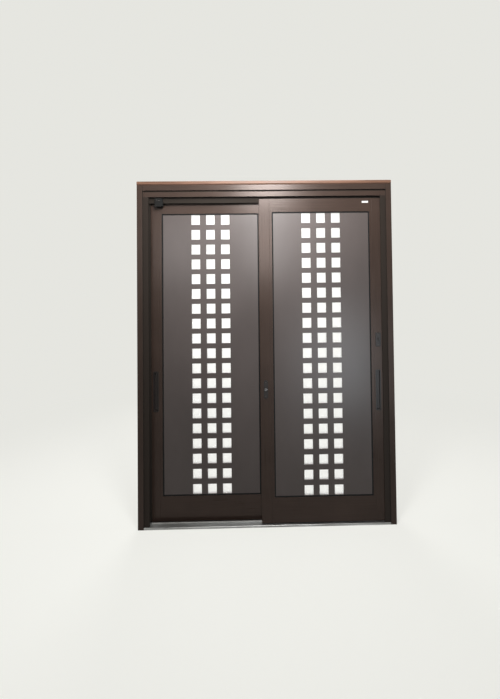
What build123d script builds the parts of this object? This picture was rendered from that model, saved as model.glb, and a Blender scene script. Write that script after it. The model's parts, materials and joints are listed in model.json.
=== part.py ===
import os
from math import hypot, sqrt

from build123d import *

# Two-leaf sliding entrance door in its aluminium frame. Millimetres, +Z up, +X to the right as
# seen from the room, -Y towards the room. Origin: middle of the sill's underside.

# Frame
frame_width = 1690.0
frame_height = 2250.0
wall = 2.0  # thickness of every hollow aluminium section
corner_radius = 1.2
casing_band = 38.0  # outer band of a jamb, nearest to the room
inner_band = 36.0  # second band of a jamb, beside the leaf
band_setback = 7.0  # second band behind the outer band
groove_depth = 24.0  # leaf groove, measured from the jamb's inner edge
groove_rib = 7.5  # rib between the leaf groove and the second band's face
head_height = 77.0
head_band = 35.0  # upper band of the head
head_shadow_line = 9.5  # dark groove between the head's two bands
shadow_line_depth = 6.0
trim_height = 25.0
trim_depth = 32.0
trim_proud = 2.0
trim_cove = 3.0

# Tracks
leaf_thickness = 34.0
leaf_gap = 10.0  # between the two leaves
side_clearance = 1.5  # leaf to each side of its groove
sill_height = 13.0
sill_edge_chamfer = 2.0
rail_width = 6.0
rail_rise = 15.0  # rail rib above the sill
rail_cap_wall = 0.8
rail_cap_skirt = 8.0
fin_thickness = 3.0
fin_engagement = 22.0  # head fin inside the leaf's top channel

# Leaves
jamb_entry = 16.5  # closed leaf inside the jamb
leaf_overlap = 81.0  # meeting stiles over each other
leaf_floor_gap = 5.0
leaf_head_gap = 16.0
leading_stile_width = 71.5
meeting_stile_width = 69.5
top_rail_height = 71.5
bottom_rail_height = 146.5
top_channel_depth = 40.0
notch_clearance = 3.5
interlock_thickness = 2.0
interlock_length = 5.0
pile_width = 4.0
pile_clearance = 0.4

# Infill
infill_recess = 6.0
lip_thickness = 4.0
bead_width = 16.5
bead_leg = 2.0
bead_leg_length = 12.0
gasket_line = 8.0  # dark rubber seen between bead and panel
infill_cover = 10.0  # infill hidden behind the bead
panel_thickness = 8.0
lattice_columns = 3
lattice_rows = 19
lattice_light_width = 59.0
lattice_upright = 41.0
lattice_crossbar = 34.0

# Rollers
wheel_tread_radius = 14.0
wheel_flange_radius = 17.5
wheel_width = 11.0
wheel_side_play = 0.4
rolling_clearance = 0.3
axle_radius = 3.0
running_clearance = 0.06
axle_head_radius = 4.5
axle_head_height = 1.5
bracket_width = 24.0
bracket_length = 80.0
bracket_sheet = 2.0
bracket_skirt = 7.0  # bracket below the axle
bracket_wheel_clearance = 3.5
roller_setback = 60.0  # from the stile to the wheel's axle

# Guides, stops and seals
guide_length = 50.0
guide_top_gap = 7.0  # guide block below the leaf's top
guide_clearance = 0.5
guide_slot_play = 1.0
guide_fin_clearance = 4.0  # head fin above the floor of the guide's slot
buffer_height = 60.0
buffer_side_clearance = 3.0
contact_clearance = 0.5
buffer_low_level = 420.0
buffer_high_level = 1780.0
stop_rubber_length = 12.0
stop_clamp_length = 40.0
stop_setback = 38.0  # stop clamp to the jamb
stop_width = 26.0
stop_drop = 61.0
stop_rubber_height = 57.0
stop_rubber_corner = 5.0
draught_block_length = 60.0
draught_block_clearance = 0.6
head_block_drop = 33.0
sill_block_rise = 27.0

# Pulls
pull_width = 35.0
pull_height = 268.0
pull_level = 876.0
pull_backset = 46.0  # pull's middle from the leading edge
pull_flange = 2.5
pull_rim = 5.0
pull_depth = 13.0
pull_wall = 1.5
pull_corner = 8.0
pull_hole_clearance = 0.5

# Edge lock
lock_level = 1211.0
lock_backset = 42.5
lock_cover_width = 35.0
lock_cover_height = 90.0
lock_cover_depth = 5.0
lock_cover_corner = 4.0
lock_cover_chamfer = 1.0
turn_radius = 11.0
turn_disc = 2.0
turn_grip_width = 6.0
turn_grip_length = 20.0
turn_grip_height = 8.0
spindle_radius = 3.5
spindle_clearance = 0.5
turn_clearance = 0.3
case_thickness = 14.0
case_wall = 1.5
case_backset = 54.0
case_height = 92.0
hook_thickness = 4.0
hook_pivot_backset = 15.5
hook_pivot_drop = 21.0  # hook's pivot below the spindle
hook_pin_radius = 2.5
hook_reach = 29.5
hook_half_width = 6.0
hook_nose_length = 4.0
hook_nose_drop = 7.0
hook_boss_radius = 5.0
hook_slot_width = 8.0
hook_slot_clearance = 1.0
cylinder_flange_radius = 14.0
cylinder_flange = 2.5
cylinder_radius = 11.0
plug_radius = 6.0
plug_depth = 8.0
key_slot_width = 1.4
key_slot_height = 7.0
key_slot_depth = 4.0
strike_thickness = 2.0
strike_width = 24.0
strike_height = 100.0

# Meeting lock
meeting_lock_level = 891.0
meeting_lock_offset = -6.0  # spindle from the door's middle
meeting_plate_width = 28.0
meeting_plate_height = 120.0
meeting_plate_depth = 3.0
meeting_turn_radius = 9.0
meeting_grip_length = 16.0
arm_length = 29.0
arm_half_width = 5.0
arm_hub_radius = 9.0
arm_back = 6.2  # arm's far face from the inner leaf
arm_front = 0.5  # arm's near face from the inner leaf
keeper_post_radius = 2.5
keeper_play = 0.5
keeper_drop = 20.0
keeper_plate_width = 20.0
keeper_plate_height = 30.0
keeper_plate_thickness = 2.0
keeper_post_length = 4.5

# Screws and ports
port_radius = 5.0
port_sink = 1.5  # port's ring merged into the wall beside it
port_bore = 2.1
screw_radius = 2.0
screw_length = 26.0
screw_head_radius = 4.0
screw_head_height = 2.5
access_radius = 5.0
screw_hole_clearance = 0.2
fixing_hole_radius = 2.75
fixing_low_level = 400.0
fixing_high_level = 1850.0
head_port_spread = 30.0
sill_port_spread = 40.0

# Places worked out from the sizes above
outer_x = frame_width / 2
casing_x = outer_x - casing_band
reveal_x = casing_x - inner_band
groove_x = reveal_x + groove_depth
track_y = (leaf_thickness + leaf_gap) / 2
groove_outer = track_y + leaf_thickness / 2 + side_clearance
groove_inner = track_y - leaf_thickness / 2 - side_clearance
band_y = groove_outer + groove_rib
front_y = band_y + band_setback
leading_x = reveal_x + jamb_entry
meeting_x = leaf_overlap / 2
leaf_width = leading_x + meeting_x
head_z = frame_height - head_height
leaf_bottom = sill_height + leaf_floor_gap
leaf_top = head_z - leaf_head_gap
fin_z = leaf_top - fin_engagement
rail_z = sill_height + rail_rise
cap_z = rail_z + rail_cap_wall
cap_width = rail_width + 2 * rail_cap_wall
wheel_z = cap_z + rolling_clearance + wheel_tread_radius
top_rail_z = leaf_top - top_rail_height
bottom_rail_z = leaf_bottom + bottom_rail_height
top_channel_z = leaf_top - top_channel_depth
bottom_channel_z = wheel_z + wheel_flange_radius + bracket_wheel_clearance + bracket_sheet
bracket_z = wheel_z - bracket_skirt
stop_x = reveal_x - stop_setback - stop_clamp_length - stop_rubber_length
stop_z = head_z - stop_drop
frame_line = bead_width + gasket_line  # from stile or rail to the panel that is seen
infill_margin = gasket_line + infill_cover
infill_gap = frame_line - infill_margin
view_left = meeting_stile_width + frame_line
view_right = leaf_width - leading_stile_width - frame_line
view_width = view_right - view_left
view_bottom = bottom_rail_z + frame_line
view_top = top_rail_z - frame_line
view_height = view_top - view_bottom
view_middle = (view_left + view_right) / 2
view_level = (view_bottom + view_top) / 2
lattice_light_height = (view_height - (lattice_rows - 1) * lattice_crossbar) / lattice_rows
gasket_thickness = infill_recess - lip_thickness
glass_thickness = leaf_thickness - 2 * infill_recess - 2 * panel_thickness
hook_z = lock_level - hook_pivot_drop
hook_x = leading_x - hook_pivot_backset
lock_x = leading_x - lock_backset
pull_x = leading_x - pull_backset
rail_length = leaf_width - meeting_stile_width - leading_stile_width
cylinder_depth = (leaf_thickness - case_thickness) / 2

# Slots for the hook: its lower edge lies on the arm, and its upper edge clears the nose's swing
nose_radius = hypot(hook_reach, hook_half_width + hook_nose_drop)
slot_low = hook_z - hook_half_width - hook_slot_clearance
stile_slot_high = hook_z + sqrt(nose_radius**2 - (leading_x - wall - hook_x) ** 2) + hook_slot_clearance
strike_reach = groove_x - strike_thickness - hook_x
strike_slot_high = hook_z + sqrt(nose_radius**2 - strike_reach**2) + hook_slot_clearance


def bar(x0, x1, y0, y1, mode=Mode.ADD):
    # A rectangle of the open sketch, given by its sides
    with Locations(((x0 + x1) / 2, (y0 + y1) / 2)):
        Rectangle(abs(x1 - x0), abs(y1 - y0), mode=mode)


def wall_plane(y):
    # Upright plane at the given y. Its second axis is +Z, and it faces the room.
    return Plane.XZ.offset(-y)


def save(piece, node):
    piece.part.label = node
    export_step(piece.part, f"parts/{node}.step")


def across(hand, from_meeting_edge):
    # x of a point of a leaf. Hand is 1 for the inner leaf and -1 for the outer one.
    return hand * (from_meeting_edge - meeting_x)


def between_stiles(hand, inset):
    # Plane across a leaf, where a piece that runs from stile to stile starts
    ends = (meeting_stile_width + inset, leaf_width - leading_stile_width - inset)
    return Plane.YZ.offset(min(across(hand, end) for end in ends))


def leaf_y(hand):
    return -hand * track_y


def room_face(hand):
    return leaf_y(hand) - leaf_thickness / 2


def street_face(hand):
    return leaf_y(hand) + leaf_thickness / 2


# Levels of the screws that hold a leaf's rails between its stiles
port_offset = wall + port_radius - port_sink
top_port_levels = (top_rail_z + port_offset, top_channel_z - port_offset)
bottom_port_levels = (bottom_channel_z + port_offset, bottom_rail_z - port_offset)
head_port_level = frame_height - port_offset
sill_port_level = sill_height / 2

os.makedirs("parts", exist_ok=True)


# Frame sections

def build_jamb(side):
    with BuildPart() as jamb:
        with BuildSketch():
            bar(side * casing_x, side * outer_x, -front_y, front_y)
            for cell in (-1, 1):
                bar(
                    side * (casing_x + wall),
                    side * (outer_x - wall),
                    cell * wall / 2,
                    cell * (front_y - wall),
                    Mode.SUBTRACT,
                )
        extrude(amount=frame_height)
        # Three hollow ribs on a hollow spine leave a groove for each leaf
        with BuildSketch(Plane.XY.offset(sill_height)):
            bar(side * groove_x, side * (casing_x + wall), -band_y, band_y)
            for y0, y1 in ((-band_y, -groove_outer), (-groove_inner, groove_inner), (groove_outer, band_y)):
                bar(side * reveal_x, side * groove_x, y0, y1)
            offset(amount=-wall, kind=Kind.INTERSECTION, mode=Mode.SUBTRACT)
        extrude(amount=head_z - sill_height)
        # Fixing holes in the groove that stays empty when the door is shut
        with BuildSketch(Plane.YZ.offset(side * reveal_x)):
            with Locations(*[(side * track_y, level) for level in (fixing_low_level, fixing_high_level)]):
                Circle(fixing_hole_radius)
        extrude(amount=side * (outer_x - reveal_x), mode=Mode.SUBTRACT)
        # Corner screws: a hole in the inner wall and a wider one to reach it through the outer wall
        for x, radius in ((casing_x, screw_radius + screw_hole_clearance), (outer_x - wall, access_radius)):
            with BuildSketch(Plane.YZ.offset(side * x)):
                with Locations(*corner_screw_places()):
                    Circle(radius)
            extrude(amount=side * wall, mode=Mode.SUBTRACT)
        if side > 0:
            with BuildSketch(Plane.YZ.offset(groove_x)):
                slot_half = hook_slot_width / 2
                bar(-track_y - slot_half, -track_y + slot_half, slot_low, strike_slot_high)
            extrude(amount=wall, mode=Mode.SUBTRACT)
    return jamb


def corner_screw_places():
    head = [(end * head_port_spread, head_port_level) for end in (-1, 1)]
    sill = [(end * sill_port_spread, sill_port_level) for end in (-1, 1)]
    return head + sill


for side, node in ((-1, "left_jamb"), (1, "right_jamb")):
    save(build_jamb(side), node)

with BuildPart() as head_frame:
    with BuildSketch(Plane.YZ.offset(-casing_x)):
        shadow_bottom = frame_height - head_band - head_shadow_line
        bar(-band_y, band_y, head_z, shadow_bottom)
        bar(-band_y + shadow_line_depth, band_y - shadow_line_depth, shadow_bottom, frame_height - head_band)
        bar(-front_y, front_y, frame_height - head_band, frame_height)
        offset(amount=-wall, kind=Kind.INTERSECTION, mode=Mode.SUBTRACT)
        bar(-wall / 2, wall / 2, head_z, frame_height)
        with Locations(*[(end * head_port_spread, head_port_level) for end in (-1, 1)]):
            Circle(port_radius)
            Circle(port_bore, mode=Mode.SUBTRACT)
    extrude(amount=2 * casing_x)
    # Fins that guide the tops of the leaves, from groove to groove
    with BuildSketch(Plane.YZ.offset(-groove_x)):
        for y in (-track_y, track_y):
            bar(y - fin_thickness / 2, y + fin_thickness / 2, fin_z, head_z + wall)
    extrude(amount=2 * groove_x)
save(head_frame, "head_frame")

with BuildPart() as sill_frame:
    with BuildSketch(Plane.YZ.offset(-casing_x)):
        bar(-front_y, front_y, 0, sill_height)
        chamfer(vertices().group_by(Axis.Y)[-1], sill_edge_chamfer)
        offset(amount=-wall, kind=Kind.INTERSECTION, mode=Mode.SUBTRACT)
        for y in (-track_y, track_y):
            bar(y - wall / 2, y + wall / 2, 0, sill_height)
        with Locations(*[(end * sill_port_spread, sill_port_level) for end in (-1, 1)]):
            Circle(port_radius)
            Circle(port_bore, mode=Mode.SUBTRACT)
    extrude(amount=2 * casing_x)
    # Rail ribs, from groove to groove
    with BuildSketch(Plane.YZ.offset(-groove_x)):
        for y in (-track_y, track_y):
            bar(y - rail_width / 2, y + rail_width / 2, sill_height - wall, rail_z)
    extrude(amount=2 * groove_x)
save(sill_frame, "sill_frame")

with BuildPart() as sill_rail_caps:
    with BuildSketch(Plane.YZ.offset(-reveal_x)):
        for y in (-track_y, track_y):
            bar(y - cap_width / 2, y + cap_width / 2, cap_z - rail_cap_skirt, cap_z)
            bar(y - rail_width / 2, y + rail_width / 2, cap_z - rail_cap_skirt, rail_z, Mode.SUBTRACT)
    extrude(amount=2 * reveal_x)
save(sill_rail_caps, "sill_rail_caps")

with BuildPart() as head_trim_strip:
    with BuildSketch(Plane.YZ.offset(-outer_x)):
        trim_front = -front_y - trim_proud
        with BuildLine():
            Polyline(
                (trim_front + trim_cove, frame_height),
                (trim_front + trim_depth, frame_height),
                (trim_front + trim_depth, frame_height + trim_height),
                (trim_front, frame_height + trim_height),
                (trim_front, frame_height + trim_cove),
            )
            RadiusArc(
                (trim_front, frame_height + trim_cove),
                (trim_front + trim_cove, frame_height),
                trim_cove,
            )
        make_face()
    extrude(amount=2 * outer_x)
save(head_trim_strip, "head_trim_strip")

with BuildPart() as jamb_buffers:
    for side in (-1, 1):
        middle = -side * track_y
        half = leaf_thickness / 2 - buffer_side_clearance
        for level in (buffer_low_level, buffer_high_level):
            with BuildSketch(Plane.XY.offset(level)):
                bar(side * (leading_x + contact_clearance), side * groove_x, middle - half, middle + half)
            extrude(amount=buffer_height)
save(jamb_buffers, "jamb_buffers")

with BuildPart() as travel_stop_clamps:
    for side in (-1, 1):
        middle = side * track_y
        with BuildSketch(Plane.YZ.offset(side * (stop_x + stop_rubber_length))):
            bar(middle - stop_width / 2, middle + stop_width / 2, stop_z, head_z)
            bar(middle - fin_thickness / 2, middle + fin_thickness / 2, fin_z, head_z, Mode.SUBTRACT)
        extrude(amount=side * stop_clamp_length)
save(travel_stop_clamps, "travel_stop_clamps")

with BuildPart() as travel_stop_rubbers:
    for side in (-1, 1):
        middle = side * track_y
        slot = fin_thickness / 2 + guide_slot_play
        with BuildSketch(Plane.YZ.offset(side * stop_x)):
            bar(middle - stop_width / 2, middle + stop_width / 2, stop_z, stop_z + stop_rubber_height)
            fillet(vertices(), stop_rubber_corner)
            bar(middle - slot, middle + slot, fin_z - guide_slot_play, head_z, Mode.SUBTRACT)
        extrude(amount=side * stop_rubber_length)
save(travel_stop_rubbers, "travel_stop_rubbers")

block_half = leaf_gap / 2 - draught_block_clearance
with BuildPart() as head_draught_block:
    with BuildSketch(Plane.XY.offset(head_z)):
        Rectangle(draught_block_length, 2 * block_half)
    extrude(amount=-head_block_drop)
save(head_draught_block, "head_draught_block")

with BuildPart() as sill_draught_block:
    with BuildSketch(Plane.XY.offset(sill_height)):
        Rectangle(draught_block_length, 2 * block_half)
    extrude(amount=sill_block_rise)
save(sill_draught_block, "sill_draught_block")

with BuildPart() as lock_strike:
    with BuildSketch(Plane.YZ.offset(groove_x)):
        with Locations((-track_y, (slot_low + strike_slot_high) / 2)):
            Rectangle(strike_width, strike_height)
            Rectangle(hook_slot_width, strike_slot_high - slot_low, mode=Mode.SUBTRACT)
    extrude(amount=-strike_thickness)
save(lock_strike, "lock_strike")

with BuildPart() as frame_screws:
    for side in (-1, 1):
        with BuildSketch(Plane.YZ.offset(side * (casing_x + wall))):
            with Locations(*corner_screw_places()):
                Circle(screw_head_radius)
        extrude(amount=side * screw_head_height)
        with BuildSketch(Plane.YZ.offset(side * (casing_x + wall))):
            with Locations(*corner_screw_places()):
                Circle(screw_radius)
        extrude(amount=-side * screw_length)
save(frame_screws, "frame_screws")


# Leaf sections

def build_stile(hand, start, width, panel_direction):
    # Tube of a stile with its street-side glazing lip. Start is measured from the meeting edge.
    y = leaf_y(hand)
    with BuildPart() as stile:
        with BuildSketch(Plane.XY.offset(leaf_bottom)):
            bar(across(hand, start), across(hand, start + width), room_face(hand), street_face(hand))
            fillet(vertices(), corner_radius)
            offset(amount=-wall, kind=Kind.INTERSECTION, mode=Mode.SUBTRACT)
        extrude(amount=leaf_top - leaf_bottom)
        panel_edge = start + width if panel_direction > 0 else start
        with BuildSketch(Plane.XY.offset(bottom_rail_z)):
            bar(
                across(hand, panel_edge - panel_direction * wall),
                across(hand, panel_edge + panel_direction * bead_width),
                street_face(hand) - lip_thickness,
                street_face(hand),
            )
        extrude(amount=top_rail_z - bottom_rail_z)
        # Passages for the head's fin and the sill's rail
        with BuildSketch(Plane.YZ.offset(min(across(hand, start), across(hand, start + width)))):
            fin_half = fin_thickness / 2 + notch_clearance
            bar(y - fin_half, y + fin_half, top_channel_z, leaf_top)
            rail_half = cap_width / 2 + notch_clearance
            bar(y - rail_half, y + rail_half, leaf_bottom, cap_z + notch_clearance)
        extrude(amount=width, mode=Mode.SUBTRACT)
        # Screw holes: close in the wall that the rails meet, wide in the other
        far_edge = start if panel_direction > 0 else start + width
        for edge, inward, radius in (
            (panel_edge, -panel_direction, screw_radius + screw_hole_clearance),
            (far_edge, panel_direction, access_radius),
        ):
            with BuildSketch(Plane.YZ.offset(across(hand, edge))):
                with Locations(*[(y, level) for level in top_port_levels + bottom_port_levels]):
                    Circle(radius)
            extrude(amount=hand * inward * wall, mode=Mode.SUBTRACT)
    return stile


def build_top_rail(hand):
    y = leaf_y(hand)
    half = leaf_thickness / 2
    with BuildPart() as rail:
        with BuildSketch(between_stiles(hand, 0)):
            bar(y - half, y + half, top_rail_z, leaf_top)
            inner = half - wall
            bar(y - inner, y + inner, top_channel_z, leaf_top, Mode.SUBTRACT)
            bar(y - inner, y + inner, top_rail_z + wall, top_channel_z - wall, Mode.SUBTRACT)
            for level in top_port_levels:
                with Locations((y, level)):
                    Circle(port_radius)
                    Circle(port_bore, mode=Mode.SUBTRACT)
        extrude(amount=rail_length)
        with BuildSketch(between_stiles(hand, bead_width)):
            bar(y + half - lip_thickness, y + half, top_rail_z - bead_width, top_rail_z + wall)
        extrude(amount=rail_length - 2 * bead_width)
    return rail


def build_bottom_rail(hand):
    y = leaf_y(hand)
    half = leaf_thickness / 2
    with BuildPart() as rail:
        with BuildSketch(between_stiles(hand, 0)):
            bar(y - half, y + half, leaf_bottom, bottom_rail_z)
            inner = half - wall
            bar(y - inner, y + inner, leaf_bottom, bottom_channel_z, Mode.SUBTRACT)
            bar(y - inner, y + inner, bottom_channel_z + wall, bottom_rail_z - wall, Mode.SUBTRACT)
            for level in bottom_port_levels:
                with Locations((y, level)):
                    Circle(port_radius)
                    Circle(port_bore, mode=Mode.SUBTRACT)
        extrude(amount=rail_length)
        with BuildSketch(between_stiles(hand, bead_width)):
            bar(y + half - lip_thickness, y + half, bottom_rail_z - wall, bottom_rail_z + bead_width)
            # Two ribs that the infill stands on
            for end in (-1, 1):
                seat = y + end * (glass_thickness + panel_thickness) / 2
                bar(seat - wall / 2, seat + wall / 2, bottom_rail_z - wall, bottom_rail_z + infill_gap)
        extrude(amount=rail_length - 2 * bead_width)
    return rail


def build_lattice_panel(hand, face, direction):
    # One flat sheet with its square lights. Direction is 1 where the sheet lies on +Y of the face.
    centre = (across(hand, view_middle), view_level)
    with BuildPart() as panel:
        with BuildSketch(wall_plane(face)):
            with Locations(centre):
                Rectangle(view_width + 2 * infill_margin, view_height + 2 * infill_margin)
                with GridLocations(
                    lattice_light_width + lattice_upright,
                    lattice_light_height + lattice_crossbar,
                    lattice_columns,
                    lattice_rows,
                ):
                    Rectangle(lattice_light_width, lattice_light_height, mode=Mode.SUBTRACT)
        extrude(amount=-direction * panel_thickness)
    return panel


def build_glass(hand):
    with BuildPart() as glass:
        with BuildSketch(wall_plane(leaf_y(hand) - glass_thickness / 2)):
            with Locations((across(hand, view_middle), view_level)):
                Rectangle(view_width + 2 * infill_margin, view_height + 2 * infill_margin)
        extrude(amount=-glass_thickness)
    return glass


def build_gasket(hand):
    with BuildPart() as gasket:
        for face in (room_face(hand) + lip_thickness, street_face(hand) - lip_thickness - gasket_thickness):
            with BuildSketch(wall_plane(face)):
                with Locations((across(hand, view_middle), view_level)):
                    Rectangle(view_width + 2 * infill_margin, view_height + 2 * infill_margin)
                    Rectangle(view_width, view_height, mode=Mode.SUBTRACT)
            extrude(amount=-gasket_thickness)
    return gasket


def build_beads(hand):
    # Snap-in beads on the room side: two upright, and two between them
    room = room_face(hand)
    with BuildPart() as beads:
        with BuildSketch(Plane.XY.offset(bottom_rail_z)):
            for edge, inward in ((meeting_stile_width, 1), (leaf_width - leading_stile_width, -1)):
                bar(across(hand, edge), across(hand, edge + inward * bead_width), room, room + lip_thickness)
                bar(
                    across(hand, edge),
                    across(hand, edge + inward * bead_leg),
                    room + lip_thickness,
                    room + lip_thickness + bead_leg_length,
                )
        extrude(amount=top_rail_z - bottom_rail_z)
        with BuildSketch(between_stiles(hand, bead_width)):
            for edge, inward in ((bottom_rail_z, 1), (top_rail_z, -1)):
                bar(room, room + lip_thickness, edge, edge + inward * bead_width)
        extrude(amount=rail_length - 2 * bead_width)
    return beads


def build_pile_strip(hand):
    # Pile beside the interlock fin, which closes the gap to the other leaf
    face = hand * (track_y - leaf_thickness / 2)
    with BuildPart() as pile:
        with BuildSketch(Plane.XY.offset(leaf_bottom)):
            bar(
                across(hand, interlock_thickness),
                across(hand, interlock_thickness + pile_width),
                -face,
                -face + hand * (leaf_gap - pile_clearance),
            )
        extrude(amount=leaf_top - leaf_bottom)
    return pile


def build_guide_blocks(hand):
    y = leaf_y(hand)
    half = leaf_thickness / 2 - wall - guide_clearance
    slot = fin_thickness / 2 + guide_slot_play
    guide_z = leaf_top - guide_top_gap
    with BuildPart() as guides:
        for start, inward in ((meeting_stile_width, 1), (leaf_width - leading_stile_width, -1)):
            with BuildSketch(Plane.YZ.offset(across(hand, start))):
                bar(y - half, y + half, top_channel_z, guide_z)
                bar(y - slot, y + slot, fin_z - guide_fin_clearance, guide_z, Mode.SUBTRACT)
            extrude(amount=hand * inward * guide_length)
    return guides


def roller_places():
    return (meeting_stile_width + roller_setback, leaf_width - leading_stile_width - roller_setback)


def build_roller_brackets(hand):
    # Folded steel channels under the ceiling of the bottom rail
    y = leaf_y(hand)
    half = bracket_width / 2
    with BuildPart() as brackets:
        for place in roller_places():
            with BuildSketch(Plane.YZ.offset(across(hand, place) - bracket_length / 2)):
                bar(y - half, y + half, bracket_z, bottom_channel_z)
                inner = half - bracket_sheet
                bar(y - inner, y + inner, bracket_z, bottom_channel_z - bracket_sheet, Mode.SUBTRACT)
            extrude(amount=bracket_length)
            with BuildSketch(wall_plane(y - half)):
                with Locations((across(hand, place), wheel_z)):
                    Circle(axle_radius + running_clearance)
            extrude(amount=-bracket_width, mode=Mode.SUBTRACT)
    return brackets


def build_axles(hand):
    half = bracket_width / 2
    with BuildPart() as axles:
        for place in roller_places():
            for start, length, radius in (
                (-half - axle_head_height, bracket_width + 2 * axle_head_height, axle_radius),
                (-half - axle_head_height, axle_head_height, axle_head_radius),
                (half, axle_head_height, axle_head_radius),
            ):
                with BuildSketch(wall_plane(leaf_y(hand) + start)):
                    with Locations((across(hand, place), wheel_z)):
                        Circle(radius)
                extrude(amount=-length)
    return axles


def build_wheel(hand, place):
    # Grooved wheel, turned about its axle
    x = across(hand, place)
    half = wheel_width / 2
    groove = cap_width / 2 + wheel_side_play
    hub = axle_radius + running_clearance
    with BuildPart() as wheel:
        with BuildSketch(Plane(origin=(x, leaf_y(hand), wheel_z), x_dir=(0, 1, 0), z_dir=(1, 0, 0))):
            with BuildLine():
                Polyline(
                    (-half, hub),
                    (-half, wheel_flange_radius),
                    (-groove, wheel_flange_radius),
                    (-groove, wheel_tread_radius),
                    (groove, wheel_tread_radius),
                    (groove, wheel_flange_radius),
                    (half, wheel_flange_radius),
                    (half, hub),
                    close=True,
                )
            make_face()
        revolve(axis=Axis((x, leaf_y(hand), wheel_z), (0, 1, 0)))
    return wheel


def build_pull(hand, face, inward):
    # Flush pull. Inward is 1 where the cup runs from the face towards +Y.
    x = hand * pull_x
    cup_width = pull_width - 2 * pull_rim
    cup_height = pull_height - 2 * pull_rim
    with BuildPart() as pull:
        with BuildSketch(wall_plane(face)):
            with Locations((x, pull_level)):
                RectangleRounded(pull_width, pull_height, pull_corner)
        extrude(amount=inward * pull_flange)
        with BuildSketch(wall_plane(face)):
            with Locations((x, pull_level)):
                RectangleRounded(cup_width, cup_height, pull_corner - pull_rim)
        extrude(amount=-inward * pull_depth)
        with BuildSketch(wall_plane(face - inward * pull_flange)):
            with Locations((x, pull_level)):
                RectangleRounded(
                    cup_width - 2 * pull_wall, cup_height - 2 * pull_wall, pull_corner - pull_rim - pull_wall
                )
        extrude(amount=-inward * (pull_flange + pull_depth - pull_wall), mode=Mode.SUBTRACT)
    return pull


def build_leaf_screws(hand):
    y = leaf_y(hand)
    places = [(y, level) for level in top_port_levels + bottom_port_levels]
    with BuildPart() as screws:
        for edge, inward in ((meeting_stile_width - wall, 1), (leaf_width - leading_stile_width + wall, -1)):
            for radius, length in ((screw_head_radius, -screw_head_height), (screw_radius, screw_length)):
                with BuildSketch(Plane.YZ.offset(across(hand, edge))):
                    with Locations(*places):
                        Circle(radius)
                extrude(amount=hand * inward * length)
    return screws


def build_leading_stile(hand):
    stile = build_stile(hand, leaf_width - leading_stile_width, leading_stile_width, -1)
    y = leaf_y(hand)
    with BuildPart() as leading_stile:
        add(stile.part)
        # Openings for the two pulls
        with BuildSketch(wall_plane(room_face(hand))):
            with Locations((hand * pull_x, pull_level)):
                RectangleRounded(
                    pull_width - 2 * pull_rim + 2 * pull_hole_clearance,
                    pull_height - 2 * pull_rim + 2 * pull_hole_clearance,
                    pull_corner - pull_rim + pull_hole_clearance,
                )
        extrude(amount=-leaf_thickness, mode=Mode.SUBTRACT)
        if hand > 0:
            with BuildSketch(wall_plane(room_face(hand))):
                with Locations((lock_x, lock_level)):
                    Circle(spindle_radius + spindle_clearance)
            extrude(amount=-wall, mode=Mode.SUBTRACT)
            with BuildSketch(wall_plane(street_face(hand) - wall)):
                with Locations((lock_x, lock_level)):
                    Circle(cylinder_radius + screw_hole_clearance)
            extrude(amount=-wall, mode=Mode.SUBTRACT)
            with BuildSketch(Plane.YZ.offset(leading_x)):
                bar(y - hook_slot_width / 2, y + hook_slot_width / 2, slot_low, stile_slot_high)
            extrude(amount=-wall, mode=Mode.SUBTRACT)
    return leading_stile


def build_meeting_stile(hand):
    stile = build_stile(hand, 0, meeting_stile_width, 1)
    face = -hand * (track_y - leaf_thickness / 2)
    with BuildPart() as meeting_stile:
        add(stile.part)
        with BuildSketch(Plane.XY.offset(leaf_bottom)):
            bar(
                across(hand, 0),
                across(hand, interlock_thickness),
                face - hand * wall,
                face + hand * interlock_length,
            )
        extrude(amount=leaf_top - leaf_bottom)
        if hand > 0:
            with BuildSketch(wall_plane(room_face(hand))):
                with Locations((meeting_lock_offset, meeting_lock_level)):
                    Circle(spindle_radius + spindle_clearance)
            extrude(amount=-leaf_thickness, mode=Mode.SUBTRACT)
    return meeting_stile


for hand, leaf in ((1, "inner_leaf"), (-1, "outer_leaf")):
    inside = room_face(hand) + infill_recess
    outside = street_face(hand) - infill_recess
    meeting_place, leading_place = roller_places()
    for node, piece in (
        ("leading_stile", build_leading_stile(hand)),
        ("meeting_stile", build_meeting_stile(hand)),
        ("top_rail", build_top_rail(hand)),
        ("bottom_rail", build_bottom_rail(hand)),
        ("inside_panel", build_lattice_panel(hand, inside, 1)),
        ("glass", build_glass(hand)),
        ("outside_panel", build_lattice_panel(hand, outside, -1)),
        ("glazing_beads", build_beads(hand)),
        ("gasket", build_gasket(hand)),
        ("pile_strip", build_pile_strip(hand)),
        ("guide_blocks", build_guide_blocks(hand)),
        ("roller_brackets", build_roller_brackets(hand)),
        ("roller_axles", build_axles(hand)),
        ("meeting_wheel", build_wheel(hand, meeting_place)),
        ("leading_wheel", build_wheel(hand, leading_place)),
        ("inside_pull", build_pull(hand, room_face(hand), 1)),
        ("outside_pull", build_pull(hand, street_face(hand), -1)),
        ("screws", build_leaf_screws(hand)),
    ):
        save(piece, f"{leaf}_{node}")


# Edge lock of the inner leaf

lock_y = leaf_y(1)
lock_room = room_face(1)
lock_street = street_face(1)
case_front = lock_y - case_thickness / 2

with BuildPart() as edge_lock_cover:
    with BuildSketch(wall_plane(lock_room)):
        with Locations((lock_x, lock_level)):
            RectangleRounded(lock_cover_width, lock_cover_height, lock_cover_corner)
            Circle(spindle_radius + spindle_clearance, mode=Mode.SUBTRACT)
    extrude(amount=lock_cover_depth)
    chamfer(faces().sort_by(Axis.Y)[0].outer_wire().edges(), lock_cover_chamfer)
save(edge_lock_cover, "edge_lock_cover")

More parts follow.
